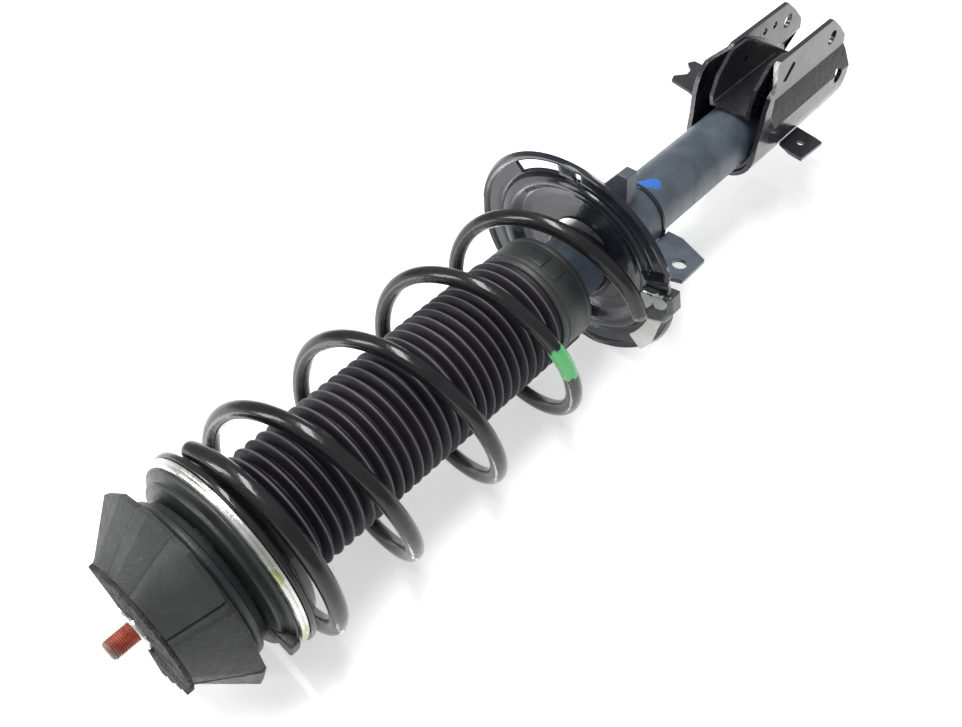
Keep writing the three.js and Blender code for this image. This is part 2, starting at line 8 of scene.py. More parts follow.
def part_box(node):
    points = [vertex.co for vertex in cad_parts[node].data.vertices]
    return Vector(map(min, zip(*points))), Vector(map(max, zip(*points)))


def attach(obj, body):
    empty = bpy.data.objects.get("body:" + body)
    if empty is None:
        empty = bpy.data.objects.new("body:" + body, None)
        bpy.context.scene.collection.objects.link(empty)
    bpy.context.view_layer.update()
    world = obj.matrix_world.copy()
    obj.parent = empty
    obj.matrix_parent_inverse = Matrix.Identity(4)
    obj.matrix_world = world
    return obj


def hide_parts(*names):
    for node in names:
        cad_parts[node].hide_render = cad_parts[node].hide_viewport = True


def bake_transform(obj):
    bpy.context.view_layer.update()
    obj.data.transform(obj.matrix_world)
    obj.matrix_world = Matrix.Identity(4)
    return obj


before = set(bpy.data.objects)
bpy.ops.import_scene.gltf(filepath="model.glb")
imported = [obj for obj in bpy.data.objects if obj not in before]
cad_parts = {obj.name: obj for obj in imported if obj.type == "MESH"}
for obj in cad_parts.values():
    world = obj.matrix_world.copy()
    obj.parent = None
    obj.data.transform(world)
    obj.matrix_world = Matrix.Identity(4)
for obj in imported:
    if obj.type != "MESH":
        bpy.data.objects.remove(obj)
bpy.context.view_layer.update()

# Front suspension strut lying along X: top mount at -X, knuckle bracket at +X.
# Stations are millimetres from the stud's tip; Y and Z are millimetres from the strut's axis.

MM = 0.001
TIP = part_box("piston_rod")[0].x
TUBE_LOW, TUBE_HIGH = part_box("outer_tube")
AXIS_Y = (TUBE_LOW.y + TUBE_HIGH.y) / 2
AXIS_Z = (TUBE_LOW.z + TUBE_HIGH.z) / 2
TUBE_R = (TUBE_HIGH.z - TUBE_LOW.z) / 2 / MM

# ---- coil spring, as in the frame ----
SPRING_R = 64.2
SPRING_CENTRE = (-3.7, -1.0)
WIRE_R = 5.3
SPRING_PITCH = 72.0
SPRING_LEAN = (0.005, 0.0237)
SPRING_FIRST = 88.0
SPRING_START_DEG = 60.0
SPRING_LIFT_DEG = 247.3
SPRING_END_DEG = 1612.0
LIFT_EASING = 0.06
END_TUCK, END_TUCK_DEG = 2.0, 60
GREEN_MARK_DEG = 1237

# ---- dust boot ----
BOOT_START = (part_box("dust_boot")[0].x - TIP) / MM
BOOT_LEAD = 2.25
BOOT_PITCH = 7.9
BOOT_FOLDS = 28
BOOT_CREST_R = 40.6
BOOT_ROOT_R = 35.4
BOOT_BORE_R = 33.5
BOOT_FOLD_END = BOOT_START + BOOT_LEAD + BOOT_PITCH * BOOT_FOLDS
BOOT_END = BOOT_FOLD_END + 3
FOLD_SHAPE = (
    (0.06, 0.0), (0.18, 0.34), (0.30, 0.74), (0.40, 0.93), (0.47, 1.0), (0.53, 1.0), (0.60, 0.93),
    (0.70, 0.74), (0.82, 0.34), (0.94, 0.0),
)
COLLAR_PANELS = ((84, 104), (117, 122), (200, 222), (320, 342))

# ---- lower spring seat ----
SEAT_X = 384.0
SEAT_LEAN = 0.12
SEAT_CENTRE = (2.0, 6.5)
SEAT_SHEET = 2.6


def at(station, y=0.0, z=0.0):
    return Vector((TIP + station * MM, AXIS_Y + y * MM, AXIS_Z + z * MM))


def round_the_axis(point, degrees):
    """A point given as (station, radius), turned about the strut's axis from +Y towards +Z."""
    angle = math.radians(degrees)
    return at(point[0], point[1] * math.cos(angle), point[1] * math.sin(angle))


# ---------------------------------------------------------------- shader groups


def new_group(name, inputs, outputs):
    tree = bpy.data.node_groups.new(name, "ShaderNodeTree")
    for label, kind, default in inputs:
        socket = tree.interface.new_socket(label, in_out="INPUT", socket_type=kind)
        socket.default_value = default
    for label, kind in outputs:
        tree.interface.new_socket(label, in_out="OUTPUT", socket_type=kind)
    return tree, tree.nodes.new("NodeGroupInput"), tree.nodes.new("NodeGroupOutput")


FLOAT, COLOUR, VECTOR = "NodeSocketFloat", "NodeSocketColor", "NodeSocketVector"
PATCH_SOFTNESS = 0.14
SCRATCH_STRETCH = (0.25, 1.4, 1.0)
SPOTS_PER_SCRATCH = 6.0
DAB_EDGE_SCALE = 260.0
BUMP_STRENGTH = 0.6
ROUGHNESS_GRAIN_SHARE = 0.4


def feed(tree, value, socket):
    """Links a node's output to the socket, or sets a plain value on it."""
    if isinstance(value, bpy.types.NodeSocket):
        tree.links.new(value, socket)
    else:
        socket.default_value = value


def noise_node(tree, coordinates, scale, detail):
    node = tree.nodes.new("ShaderNodeTexNoise")
    node.inputs["Detail"].default_value = detail
    feed(tree, scale, node.inputs["Scale"])
    feed(tree, coordinates, node.inputs["Vector"])
    return node.outputs["Fac"]


def ramp_between(tree, value, low, high, out_low=0.0, out_high=1.0):
    node = tree.nodes.new("ShaderNodeMapRange")
    node.interpolation_type = "SMOOTHSTEP"
    settings = (
        ("From Min", low), ("From Max", high), ("To Min", out_low), ("To Max", out_high), ("Value", value),
    )
    for label, setting in settings:
        feed(tree, setting, node.inputs[label])
    return node.outputs["Result"]


def maths(tree, operation, a, b):
    node = tree.nodes.new("ShaderNodeMath")
    node.operation = operation
    feed(tree, a, node.inputs[0])
    feed(tree, b, node.inputs[1])
    return node.outputs[0]


def vector_maths(tree, operation, a, b):
    node = tree.nodes.new("ShaderNodeVectorMath")
    node.operation = operation
    feed(tree, a, node.inputs[0])
    feed(tree, b, node.inputs[1])
    return node.outputs["Vector"]


def length_of(tree, vector):
    node = tree.nodes.new("ShaderNodeVectorMath")
    node.operation = "LENGTH"
    feed(tree, vector, node.inputs[0])
    return node.outputs["Value"]


def mix_colour(tree, factor, a, b):
    node = tree.nodes.new("ShaderNodeMix")
    node.data_type = "RGBA"
    first, second = [socket for socket in node.inputs if socket.type == "RGBA"]
    for socket, value in ((node.inputs[0], factor), (first, a), (second, b)):
        feed(tree, value, socket)
    return [socket for socket in node.outputs if socket.type == "RGBA"][0]


def object_place(tree):
    return tree.nodes.new("ShaderNodeTexCoord").outputs["Object"]


def build_speckle():
    """Fine grain between two values."""
    tree, given, made = new_group(
        "fine_speckle",
        [("Scale", FLOAT, 300.0), ("Low", FLOAT, 0.4), ("High", FLOAT, 0.6)],
        [("Value", FLOAT)],
    )
    grain = noise_node(tree, object_place(tree), given.outputs["Scale"], 4.0)
    value = ramp_between(tree, grain, 0.3, 0.7, given.outputs["Low"], given.outputs["High"])
    feed(tree, value, made.inputs["Value"])
    return tree


def build_two_tone():
    """Soft patches of two colours."""
    tree, given, made = new_group(
        "uneven_tone",
        [
            ("Scale", FLOAT, 30.0), ("Dark", COLOUR, (0, 0, 0, 1)), ("Light", COLOUR, (1, 1, 1, 1)),
            ("Balance", FLOAT, 0.5),
        ],
        [("Color", COLOUR)],
    )
    patches = noise_node(tree, object_place(tree), given.outputs["Scale"], 5.0)
    low = maths(tree, "SUBTRACT", given.outputs["Balance"], PATCH_SOFTNESS)
    high = maths(tree, "ADD", given.outputs["Balance"], PATCH_SOFTNESS)
    share = ramp_between(tree, patches, low, high)
    feed(tree, mix_colour(tree, share, given.outputs["Dark"], given.outputs["Light"]), made.inputs["Color"])
    return tree


def build_wear():
    """Fine scratches along the strut and rubbed spots."""
    tree, given, made = new_group(
        "rubbed_marks",
        [("Scale", FLOAT, 60.0), ("Amount", FLOAT, 0.5)],
        [("Mask", FLOAT)],
    )
    place = object_place(tree)
    stretch = tree.nodes.new("ShaderNodeMapping")
    stretch.inputs["Scale"].default_value = SCRATCH_STRETCH
    feed(tree, place, stretch.inputs["Vector"])
    streaks = noise_node(tree, stretch.outputs["Vector"], given.outputs["Scale"], 8.0)
    spots = noise_node(tree, place, maths(tree, "MULTIPLY", given.outputs["Scale"], SPOTS_PER_SCRATCH), 2.0)
    both = maths(tree, "MULTIPLY", streaks, spots)
    edge = maths(tree, "SUBTRACT", 0.52, maths(tree, "MULTIPLY", given.outputs["Amount"], 0.3))
    mask = ramp_between(tree, both, edge, maths(tree, "ADD", edge, 0.06))
    feed(tree, mask, made.inputs["Mask"])
    return tree


def build_dab():
    """A dab of colour round a point, with an uneven edge: marking paint and tints, and on some finishes a painted
    highlight.
    """
    tree, given, made = new_group(
        "mark_and_highlight_dab",
        [("Centre", VECTOR, (0, 0, 0)), ("Stretch", VECTOR, (1, 1, 1)), ("Size", FLOAT, 0.01)],
        [("Mask", FLOAT)],
    )
    place = object_place(tree)
    away = vector_maths(tree, "SUBTRACT", place, given.outputs["Centre"])
    wide = vector_maths(tree, "MULTIPLY", away, given.outputs["Stretch"])
    distance = length_of(tree, wide)
    ragged = maths(tree, "ADD", noise_node(tree, place, DAB_EDGE_SCALE, 3.0), 0.5)
    share = maths(tree, "DIVIDE", distance, maths(tree, "MULTIPLY", given.outputs["Size"], ragged))
    feed(tree, ramp_between(tree, share, 0.86, 1.02, 1.0, 0.0), made.inputs["Mask"])
    return tree


def build_radius():
    """0 inside the inner radius about the strut's axis, and 1 outside the outer one."""
    tree, given, made = new_group(
        "away_from_axis",
        [("Inner", FLOAT, 0.03), ("Outer", FLOAT, 0.04)],
        [("Mask", FLOAT)],
    )
    centred = vector_maths(tree, "SUBTRACT", object_place(tree), (0, AXIS_Y, AXIS_Z))
    distance = length_of(tree, vector_maths(tree, "MULTIPLY", centred, (0, 1, 1)))
    feed(
        tree, ramp_between(tree, distance, given.outputs["Inner"], given.outputs["Outer"]),
        made.inputs["Mask"],
    )
    return tree


SPECKLE = build_speckle()
TWO_TONE = build_two_tone()
WEAR = build_wear()
DAB = build_dab()
RADIUS = build_radius()


def place_group(tree, kind, **values):
    node = tree.nodes.new("ShaderNodeGroup")
    node.node_tree = kind
    for label, value in values.items():
        socket = node.inputs[label]
        if isinstance(value, (tuple, list)) and socket.type == "RGBA":
            socket.default_value = (*value[:3], 1)
        else:
            socket.default_value = value
    return node.outputs[0]


def finish_material(
    name, dark, light, roughness, metallic=0.0, coat=0.0, coat_roughness=0.1, grain=(900, 0.0001),
    tone_scale=25, balance=0.5, wear=None, specular=0.5, dabs=(), painted_highlight_band=None, wear_scale=60,
):
    """A procedural finish.

    Grain is (scale, depth), wear is (amount, colour), the band about the strut's axis, a painted highlight, is
    (inner, outer, colour, strength) and each dab is (centre, stretch, size, colour).
    """
    grain_scale, grain_depth = grain
    material = bpy.data.materials.new(name)
    material.use_nodes = True
    tree = material.node_tree
    shader = tree.nodes["Principled BSDF"]
    colour = place_group(tree, TWO_TONE, Scale=tone_scale, Dark=dark, Light=light, Balance=balance)
    if painted_highlight_band:
        inner, outer, tint, strength = painted_highlight_band
        mask = place_group(tree, RADIUS, Inner=inner * MM, Outer=outer * MM)
        colour = mix_colour(tree, maths(tree, "MULTIPLY", mask, strength), colour, (*tint, 1))
    if wear:
        amount, tint = wear
        mask = place_group(tree, WEAR, Scale=wear_scale, Amount=amount)
        colour = mix_colour(tree, mask, colour, (*tint, 1))
    for centre, stretch, size, tint in dabs:
        mask = place_group(tree, DAB, Centre=tuple(centre), Stretch=stretch, Size=size)
        colour = mix_colour(tree, mask, colour, (*tint, 1))
    feed(tree, colour, shader.inputs["Base Color"])
    low, high = roughness
    rough = place_group(tree, SPECKLE, Scale=grain_scale * ROUGHNESS_GRAIN_SHARE, Low=low, High=high)
    feed(tree, rough, shader.inputs["Roughness"])
    shader.inputs["Metallic"].default_value = metallic
    shader.inputs["Specular IOR Level"].default_value = specular
    shader.inputs["Coat Weight"].default_value = coat
    shader.inputs["Coat Roughness"].default_value = coat_roughness
    bump = tree.nodes.new("ShaderNodeBump")
    bump.inputs["Strength"].default_value = BUMP_STRENGTH
    bump.inputs["Distance"].default_value = grain_depth
    feed(tree, place_group(tree, SPECKLE, Scale=grain_scale, Low=0.0, High=1.0), bump.inputs["Height"])
    feed(tree, bump.outputs["Normal"], shader.inputs["Normal"])
    return material


def wire_centre(degrees):
    """The wire's centre line: flat at the seat, easing into the pitch at the lift angle."""
    turns = (degrees - SPRING_LIFT_DEG) / 360
    lift = (turns + math.sqrt(turns * turns + LIFT_EASING)) / 2
    angle = math.radians(degrees)
    y, z = SPRING_R * math.cos(angle), SPRING_R * math.sin(angle)
    station = SPRING_FIRST + lift * (SPRING_PITCH - SPRING_LEAN[0] * y - SPRING_LEAN[1] * z)
    station -= END_TUCK * max(0.0, 1 - (degrees - SPRING_START_DEG) / END_TUCK_DEG)
    return at(station, SPRING_CENTRE[0] + y, SPRING_CENTRE[1] + z)


GREEN_MARK = wire_centre(GREEN_MARK_DEG)
WIRE_END = wire_centre(SPRING_END_DEG)

MATTE_RUBBER = finish_material(
    "mount_rubber_matte", (0.030, 0.031, 0.032), (0.05, 0.051, 0.052), (0.46, 0.62), grain=(700, 0.0002),
    tone_scale=22, wear=(0.12, (0.2, 0.2, 0.19)), specular=0.4,
)
BLACK_RUBBER = finish_material(
    "slab_rubber_rough", (0.012, 0.012, 0.013), (0.035, 0.035, 0.036), (0.6, 0.8), grain=(420, 0.0012),
    tone_scale=90,
)
# The boot's rubber gets a thin lighter band about the axis at the crests' radius: a painted highlight along each
# crest.
BOOT_RUBBER = finish_material(
    "boot_rubber_satin", (0.009, 0.0075, 0.0125), (0.016, 0.0135, 0.02), (0.46, 0.6), grain=(1200, 0.00012),
    tone_scale=14, painted_highlight_band=(40.1, 40.58, (0.13, 0.125, 0.13), 0.8), specular=0.3,
)
COLLAR_PLASTIC = finish_material(
    "collar_plastic_satin", (0.022, 0.025, 0.026), (0.04, 0.046, 0.044), (0.38, 0.5), grain=(900, 0.0001),
    tone_scale=30,
)
COVER_PLASTIC = finish_material(
    "bearing_plastic_satin", (0.018, 0.019, 0.02), (0.033, 0.034, 0.035), (0.34, 0.48), grain=(900, 0.0001),
    tone_scale=22, wear=(0.08, (0.09, 0.09, 0.085)),
)
STUD_PAINT = finish_material(
    "stud_red_paint", (0.26, 0.035, 0.018), (0.42, 0.085, 0.045), (0.38, 0.55), metallic=0.2,
    grain=(800, 0.0002), tone_scale=160, wear=(0.3, (0.3, 0.2, 0.11)), wear_scale=120,
    dabs=[(at(-1, 0, 0), (1, 1, 1), 0.0075, (0.2, 0.13, 0.1))],
)
ZINC = finish_material(
    "zinc_plate", (0.62, 0.64, 0.6), (0.86, 0.87, 0.84), (0.22, 0.36), metallic=0.9, grain=(500, 0.00008),
    tone_scale=60, wear=(0.06, (0.6, 0.62, 0.5)), wear_scale=40,
    dabs=[
        (round_the_axis((75, 62), 30), (1, 1, 1), 0.012, (0.6, 0.63, 0.45)),
        (round_the_axis((75, 62), 196), (1, 1, 1), 0.016, (0.5, 0.56, 0.36)),
        (round_the_axis((73, 62), 145), (1.6, 1, 1), 0.006, (0.5, 0.55, 0.3)),
    ],
)
STEEL = finish_material(
    "plain_steel", (0.4, 0.41, 0.42), (0.6, 0.61, 0.62), (0.28, 0.42), metallic=0.95,
    grain=(600, 0.00008), tone_scale=50,
)
SPRING_PAINT = finish_material(
    "spring_black_gloss", (0.006, 0.006, 0.007), (0.012, 0.0115, 0.013), (0.2, 0.28), coat=0.4,
    coat_roughness=0.04, grain=(200, 0.00012), tone_scale=35, specular=0.3,
    dabs=[
        (GREEN_MARK, (0.9, 1, 0.8), 0.0125, (0.1, 0.5, 0.16)),
        (WIRE_END, (1, 1, 1), 0.007, (0.12, 0.11, 0.1)),
    ],
)
SEAT_PAINT = finish_material(
    "seat_blue_black_gloss", (0.008, 0.009, 0.014), (0.018, 0.019, 0.028), (0.15, 0.24), coat=0.5,
    coat_roughness=0.06, grain=(200, 0.00012), tone_scale=28, wear=(0.04, (0.2, 0.21, 0.22)), specular=0.35,
    # The pale dabs along the seat's rim are a painted highlight on a partly worn rim edge.
    dabs=[
        (round_the_axis((383, 82), angle), (1, 1, 1), 0.006, (0.3, 0.3, 0.31))
        for angle in (137, 144, 151, 158, 165)
    ],
)
TUBE_PAINT = finish_material(
    "tube_slate_satin", (0.052, 0.068, 0.088), (0.085, 0.105, 0.13), (0.34, 0.5), coat=0.25,
    coat_roughness=0.3, grain=(240, 0.00025), tone_scale=45, wear=(0.18, (0.2, 0.23, 0.26)),
    dabs=[
        (round_the_axis((station, TUBE_R), angle), (1, 1, 1), 0.0048, (0.03, 0.15, 0.55))
        for station, angle in ((448, 80), (453, 85), (458, 91), (462, 98), (465, 105))
    ],
)
BRACKET_PAINT = finish_material(
    "bracket_black_gloss", (0.009, 0.0085, 0.012), (0.02, 0.0185, 0.024), (0.18, 0.3), coat=0.5,
    coat_roughness=0.08, grain=(200, 0.00014), tone_scale=35, wear=(0.05, (0.2, 0.2, 0.21)),
)
STOP_PAINT = finish_material(
    "pressed_stop_gloss_painted_highlights", (0.02, 0.022, 0.022), (0.06, 0.065, 0.06), (0.16, 0.28), metallic=0.5,
    coat=0.5, coat_roughness=0.06, grain=(200, 0.00012), tone_scale=60, balance=0.4,
    # The two pale dabs on the stop's front face are painted highlights.
    dabs=[(at(374, y, z), (1, 1, 1), 0.006, (0.5, 0.55, 0.52)) for y, z in ((-63, 11), (-72, 14))],
)
LABEL_WHITE = finish_material(
    "blank_label_paper", (0.78, 0.78, 0.76), (0.88, 0.88, 0.87), (0.5, 0.62), grain=(600, 0.00006),
    tone_scale=90,
)
# Lighter grey for the bars along the inner plate's bends: a painted highlight.
BEND_HIGHLIGHT = finish_material(
    "bend_edge_painted_highlight", (0.1, 0.098, 0.11), (0.2, 0.19, 0.21), (0.25, 0.35), grain=(300, 0.0001),
    tone_scale=60,
)
BLACK_INSIDE = finish_material(
    "inner_dark", (0.01, 0.01, 0.011), (0.02, 0.02, 0.022), (0.5, 0.65), grain=(600, 0.0001),
    tone_scale=40,
)

# ---------------------------------------------------------------- making pieces


DOUBLED = 1e-7
SAME_PLACE = 1e-6
FLAT_WITHIN_DEG = 1.5


def smooth_and_place(bm, name, body, material, stands_for=(), flat_angle=35, weighted=False, fix=True):
    """Makes an object of the mesh. It rides the body, where one is given, and stands for the CAD nodes."""
    if fix:
        bmesh.ops.remove_doubles(bm, verts=bm.verts[:], dist=DOUBLED)
        bmesh.ops.recalc_face_normals(bm, faces=bm.faces[:])
    mesh = bpy.data.meshes.new(name)
    bm.to_mesh(mesh)
    bm.free()
    for polygon in mesh.polygons:
        polygon.use_smooth = True
    mesh.set_sharp_from_angle(angle=math.radians(flat_angle))
    piece = bpy.data.objects.new(name, mesh)
    bpy.context.scene.collection.objects.link(piece)
    mesh.materials.append(material)
    if weighted:
        evened = piece.modifiers.new("even_normals", "WEIGHTED_NORMAL")
        evened.keep_sharp = True
    if body:
        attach(piece, body)
    if stands_for:
        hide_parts(*stands_for)
    return piece


def bevel_sharp(bm, width, angle=28, segments=2):
    """Eases every edge that bends by more than the angle. The width is in mm."""
    edges = [e for e in bm.edges if e.is_manifold and e.calc_face_angle(0) > math.radians(angle)]
    if edges:
        bmesh.ops.bevel(
            bm, geom=edges, offset=width * MM, offset_type="OFFSET", segments=segments, profile=0.5,
            affect="EDGES", clamp_overlap=True, material=-1,
        )


def turned(profile, steps, edge):
    """A closed (station, radius) profile spun about the strut's axis, with its sharp rings eased."""
    bm = bmesh.new()
    corners = [bm.verts.new(at(x, 0, r)) for x, r in profile]
    for first, second in zip(corners, corners[1:] + corners[:1]):
        bm.edges.new((first, second))
    bmesh.ops.spin(
        bm, geom=bm.verts[:] + bm.edges[:], cent=at(0), axis=(1, 0, 0), angle=2 * math.pi, steps=steps,
        use_merge=True,
    )
    bmesh.ops.remove_doubles(bm, verts=bm.verts[:], dist=SAME_PLACE)
    bmesh.ops.recalc_face_normals(bm, faces=bm.faces[:])
    if edge:
        bevel_sharp(bm, edge)
    return bm


def from_cad(node, edge, angle=28, segments=2):
    """A copy of a CAD node with flat faces joined up and its sharp edges eased."""
    bm = bmesh.new()
    bm.from_mesh(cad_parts[node].data)
    bmesh.ops.remove_doubles(bm, verts=bm.verts[:], dist=SAME_PLACE)
    bmesh.ops.dissolve_limit(
        bm, angle_limit=math.radians(FLAT_WITHIN_DEG), verts=bm.verts[:], edges=bm.edges[:],
    )
    bevel_sharp(bm, edge, angle, segments)
    return bm


def swept(path, radius, sides):
    """A round bar along a list of points, closed at both ends."""
    bm = bmesh.new()
    last = len(path) - 1
    tangents = [(path[min(i + 1, last)] - path[max(i - 1, 0)]).normalized() for i in range(len(path))]
    sideways = Vector((0, 0, 1)) if abs(tangents[0].x) > 0.9 else Vector((1, 0, 0))
    across = tangents[0].cross(sideways).normalized()
    edges = previous = None
    for place, ahead in zip(path, tangents):
        across = (across - ahead * across.dot(ahead)).normalized()
        here = Matrix((across, ahead.cross(across), ahead)).transposed().to_4x4()
        here.translation = place
        if previous is None:
            ring = bmesh.ops.create_circle(bm, cap_ends=True, segments=sides, radius=radius)["verts"]
            edges = bm.edges[:]
            move = here
        else:
            made = bmesh.ops.extrude_edge_only(bm, edges=edges)["geom"]
            ring = [part for part in made if isinstance(part, bmesh.types.BMVert)]
            edges = [
                part for part in made
                if isinstance(part, bmesh.types.BMEdge) and part.verts[0] in ring and part.verts[1] in ring
            ]
            move = here @ previous.inverted()
        bmesh.ops.transform(bm, matrix=move, verts=ring)
        previous = here
    bmesh.ops.edgeloop_fill(bm, edges=edges)
    return bm


def curved_block(station, length, inner, outer, from_deg, to_deg, steps=16, edge=0.5):
    """A block that follows the strut's round surface."""
    bm = bmesh.new()
    corners = [(station, inner), (station, outer), (station + length, outer), (station + length, inner)]
    loop = [bm.verts.new(round_the_axis(c, from_deg)) for c in corners]
    face = bm.faces.new(loop)
    bmesh.ops.spin(
        bm, geom=[face], cent=at(0), axis=(1, 0, 0), angle=math.radians(to_deg - from_deg), steps=steps,
    )
    bmesh.ops.remove_doubles(bm, verts=bm.verts[:], dist=DOUBLED)
    bmesh.ops.holes_fill(bm, edges=[e for e in bm.edges if e.is_boundary], sides=4)
    bmesh.ops.recalc_face_normals(bm, faces=bm.faces[:])
    bevel_sharp(bm, edge, 40)
    return bm


# ---- stud and rod ----
THREAD_START, THREAD_END, THREAD_PITCH = 1.4, 22, 1.25
THREAD_ROOT_R, THREAD_CREST_R = 5.55, 5.95
STUD_R, ROD_SHOULDER_R, ROD_R = 6, 7.5, 11
ON_AXIS = 0.01


def stud_profile():
    points = [(0, ON_AXIS), (0, 4.6), (0.8, 5.4)]
    station = THREAD_START
    while station < THREAD_END:
        points += [
            (station, THREAD_ROOT_R), (station + 0.45, THREAD_CREST_R), (station + 0.8, THREAD_CREST_R),
        ]
        station += THREAD_PITCH
    points += [
        (24, 5.8), (31, STUD_R), (31, ROD_SHOULDER_R), (62, ROD_SHOULDER_R), (62, ROD_R), (344.7, ROD_R),
        (344.7, STUD_R), (375, STUD_R), (375, ON_AXIS),
    ]
    return points


smooth_and_place(turned(stud_profile(), 48, 0), "rod_and_stud", "top_mount", STUD_PAINT, ["piston_rod"], 50)
smooth_and_place(
    turned([
        (15.4, 6.2), (15.0, 7.2), (15.0, 11.4), (15.5, 12.3), (16.2, 12.5), (24, 12.5), (24, 6.2),
    ], 64, 0.15),
    "mount_washer_disc", "top_mount", ZINC, ["mount_washer"],
)
smooth_and_place(from_cad("rod_nut", 0.5), "rod_nut_hex", "top_mount", ZINC, ["rod_nut"], weighted=True)


# ---- rubber top mount ----
MOUNT_CORE_R = 30.0
ON_THE_PLANE = 1e-5
GROOVES = ((79, 0.8, 1.6), (102, 0.8, 1.8), (140, 0.9, 2.0), (145.5, 0.9, -0.9), (188, 0.8, 1.1))


def groove(bm, degrees, half_width, depth):
    """A narrow valley down the block's side, or a ridge where the depth is negative."""
    angle = math.radians(degrees)
    outward = Vector((0, math.cos(angle), math.sin(angle)))
    sideways = Vector((0, -math.sin(angle), math.cos(angle)))
    for shift in (-half_width, 0, half_width):
        bmesh.ops.bisect_plane(
            bm, geom=bm.verts[:] + bm.edges[:] + bm.faces[:], plane_co=at(0) + sideways * shift * MM,
            plane_no=sideways, dist=SAME_PLACE,
        )
    centre = at(0)
    for v in bm.verts:
        offset = v.co - centre
        if abs(offset.dot(sideways)) < ON_THE_PLANE and offset.dot(outward) > MOUNT_CORE_R * MM:
            v.co -= outward * depth * MM


def mount_block():
    bm = from_cad("mount_rubber", 2.4, 33, 4)
    for degrees, half_width, depth in GROOVES:
        groove(bm, degrees, half_width, depth)
    return bm


smooth_and_place(
    mount_block(), "mount_rubber_block", "top_mount", MATTE_RUBBER, ["mount_rubber"], 32, weighted=True,
)


SLAB_FRONT, SLAB_THICK = 16.6, 2.7
SLAB_INNER_R, SLAB_OUTER_R = 15.5, 43.5
SLAB_FROM_DEG, SLAB_TO_DEG = 56, 262


def ragged_slab():
    """The torn-edged rubber on the block's front face."""
    bm = curved_block(
        SLAB_FRONT, SLAB_THICK, SLAB_INNER_R, SLAB_OUTER_R, SLAB_FROM_DEG, SLAB_TO_DEG, 90, 0.3,
    )
    centre = at(0)
    for v in bm.verts:
        offset = v.co - centre
        out = Vector((0, offset.y, offset.z))
        angle = math.degrees(math.atan2(offset.z, offset.y)) % 360
        slow = noise.noise(Vector((angle / 6.0, 3.1, 0))) * 2.4
        fast = noise.noise(Vector((angle / 1.9, 8.1, 0))) * 1.1
        if out.length > 30 * MM:
            v.co += out.normalized() * (slow + fast - 1.2) * MM
        if offset.x < 18 * MM:
            v.co.x += noise.noise(Vector((angle / 4.0, out.length * 160, 2))) * 1.1 * MM
    return bm


smooth_and_place(ragged_slab(), "mount_face_slab", "top_mount", BLACK_RUBBER, (), 40)

# ---- bearing and upper spring seat ----
smooth_and_place(
    turned([
        (51.8, 20.5), (51.8, 50), (54, 51.2), (57, 50.5), (58, 47), (62, 46), (62, 40), (57, 40), (57, 20.5),
    ], 128, 0.4),
    "bearing_cover_shell", "top_mount", COVER_PLASTIC, ["bearing_cover"],
)
smooth_and_place(
    turned([
        (63.3, 24), (63.3, 46.5), (64.0, 49), (64.6, 52.4), (65.4, 54.0), (66.6, 54.6), (67.8, 54.2),
        (68.4, 55.6), (69.4, 58.6), (70.6, 60.2), (71.7, 60.4), (71.7, 24),
    ], 128, 0.25),
    "bearing_housing_shell", "upper_seat", COVER_PLASTIC, ["bearing_housing"],
)
smooth_and_place(
    turned([
        (72, 27), (72, 60), (72.8, 62.1), (74.0, 62.9), (74.9, 62.7), (75.3, 62.2), (75.7, 62.7),
        (76.9, 62.9), (77.5, 62.4), (77.5, 61), (74.8, 60), (74.8, 29.5), (92, 29.5), (92, 27),
    ], 160, 0.12),
    "upper_seat_plate", "upper_seat", ZINC, ["upper_spring_seat"],
)
smooth_and_place(
    turned([
        (75.1, 29.8), (75.1, 59.4), (77.3, 60.2), (77.8, 60.6), (77.8, 63.2), (78.6, 64), (80.6, 64),
        (81.6, 63.4), (82.2, 62), (82.4, 54.4), (90, 53.7), (92.5, 50), (92.5, 29.8),
    ], 128, 0.3),
    "upper_seat_rubber", "upper_seat", SPRING_PAINT, ["upper_seat_pad"],
)


# ---- dust boot and its collar ----
def boot_profile():
    lead_r = BOOT_ROOT_R + 0.6
    points = [(BOOT_START, BOOT_BORE_R), (BOOT_START, lead_r), (BOOT_START + BOOT_LEAD - 0.6, lead_r)]
    for i in range(BOOT_FOLDS):
        start = BOOT_START + BOOT_LEAD + BOOT_PITCH * i
        points += [
            (start + BOOT_PITCH * along, BOOT_ROOT_R + (BOOT_CREST_R - BOOT_ROOT_R) * out)
            for along, out in FOLD_SHAPE
        ]
    points += [
        (BOOT_FOLD_END, BOOT_ROOT_R), (BOOT_FOLD_END + 1.2, BOOT_ROOT_R + 1), (BOOT_END, BOOT_ROOT_R + 1.4),
        (BOOT_END, BOOT_BORE_R),
    ]
    return points


boot = smooth_and_place(
    turned(boot_profile(), 128, 0), "dust_boot_bellows", None, BOOT_RUBBER, ["dust_boot"], 60,
)
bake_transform(boot)


def boot_collar():
    start = BOOT_FOLD_END + 3.3
    return turned([
        (start, 26.5), (start, 38.2), (start + 1.2, 39.0), (start + 4, 39.3), (start + 4.6, 38.5),
        (start + 5.6, 38.5), (start + 6.2, 39.3), (start + 23, 39.3), (start + 24, 38.7), (start + 25, 39.3), (start + 28, 39.2),
        (start + 29, 38.3), (start + 29, 26.5),
    ], 128, 0.3)


smooth_and_place(boot_collar(), "boot_collar_ring", "strut_tube", COLLAR_PLASTIC, ["boot_collar"])


for number, (from_deg, to_deg) in enumerate(COLLAR_PANELS):
    smooth_and_place(
        curved_block(BOOT_FOLD_END + 12, 11, 38.6, 40.1, from_deg, to_deg), f"collar_panel_{number + 1}",
        "strut_tube", COLLAR_PLASTIC,
    )


# ---- coil spring ----
COIL_STEPS = 520


